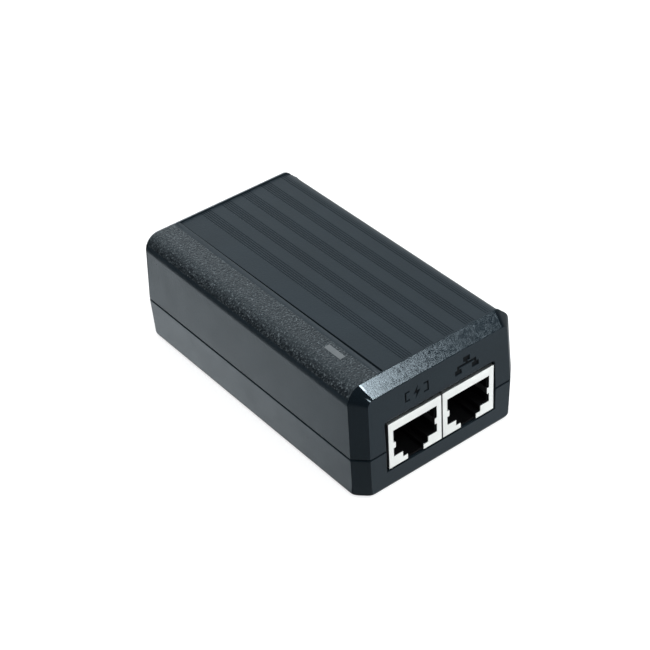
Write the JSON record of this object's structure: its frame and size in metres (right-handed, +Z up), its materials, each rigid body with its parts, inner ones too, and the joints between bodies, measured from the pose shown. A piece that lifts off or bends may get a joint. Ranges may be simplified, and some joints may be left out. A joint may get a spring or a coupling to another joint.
{
  "type": "power over ethernet injector",
  "caption": "Slim moulded power injector: mains inlet at the back, data and powered network sockets side by side in the front, grooved grip panel on top.",
  "frame": {"origin": "middle of the case's underside, on the plane it stands on", "axes": "+Z up, -Y out of the two network sockets (front), +Y out of the mains inlet (back), +X to the right seen from the front"},
  "size_m": [0.0502, 0.0876, 0.0314],
  "materials": {
    "shell_plastic": "fine grained near-black moulding",
    "clear_plastic": "translucent light grey",
    "screw_steel": "zinc plated",
    "label_film": "blank silver-grey film",
    "board_laminate": "green solder mask",
    "shield_metal": "bright tin plate",
    "socket_plastic": "black moulding",
    "contact_metal": "gold flashed wire",
    "inlet_plastic": "black moulding",
    "pin_metal": "nickel plated",
    "pale_plastic": "cream moulding",
    "blue_epoxy": "dipped lacquer",
    "yellow_plastic": "yellow case and tape",
    "ferrite": "dull dark ceramic",
    "copper_wire": "enamelled copper",
    "chip_epoxy": "black epoxy",
    "capacitor_can": "sleeved can",
    "bare_aluminium": "rolled sheet"
  },
  "bodies": {
    "case": {"top_shell": "shell_plastic", "bottom_shell": "shell_plastic", "light_pipe": "clear_plastic", "case_screws": "screw_steel", "rating_label": "label_film", "main_board": "board_laminate", "poe_socket_shield": "shield_metal", "lan_socket_shield": "shield_metal", "poe_socket_insert": "socket_plastic", "lan_socket_insert": "socket_plastic", "poe_contact_tails": "contact_metal", "lan_contact_tails": "contact_metal", "inlet_housing": "inlet_plastic", "line_pin": "pin_metal", "neutral_pin": "pin_metal", "earth_pin": "pin_metal", "fuse": "pale_plastic", "varistor": "blue_epoxy", "x_capacitor": "yellow_plastic", "choke_core": "ferrite", "choke_windings": "copper_wire", "bridge_rectifier": "chip_epoxy", "bulk_capacitor": "capacitor_can", "heatsink": "bare_aluminium", "switching_transistor": "chip_epoxy", "transistor_screw": "screw_steel", "controller_chip": "chip_epoxy", "transformer_core": "ferrite", "transformer_bobbin": "pale_plastic", "transformer_winding": "yellow_plastic", "optocoupler": "chip_epoxy", "y_capacitor": "blue_epoxy", "output_diode": "chip_epoxy", "output_inductor": "ferrite", "output_capacitors": "capacitor_can", "data_transformer": "chip_epoxy", "status_led": "clear_plastic"},
    "poe_contacts": {"poe_contact_springs": "contact_metal"},
    "lan_contacts": {"lan_contact_springs": "contact_metal"}
  },
  "joints": [
    {"name": "poe_contacts_flex", "type": "hinge", "parent": "case", "child": "poe_contacts", "pos_m": [-0.00825, -0.0396, 0.0181], "axis": [1, 0, 0], "range_deg": [0, 14], "stiffness_Nm_per_rad": 0.02},
    {"name": "lan_contacts_flex", "type": "hinge", "parent": "case", "child": "lan_contacts", "pos_m": [0.00825, -0.0396, 0.0181], "axis": [1, 0, 0], "range_deg": [0, 14], "stiffness_Nm_per_rad": 0.02}
  ]
}
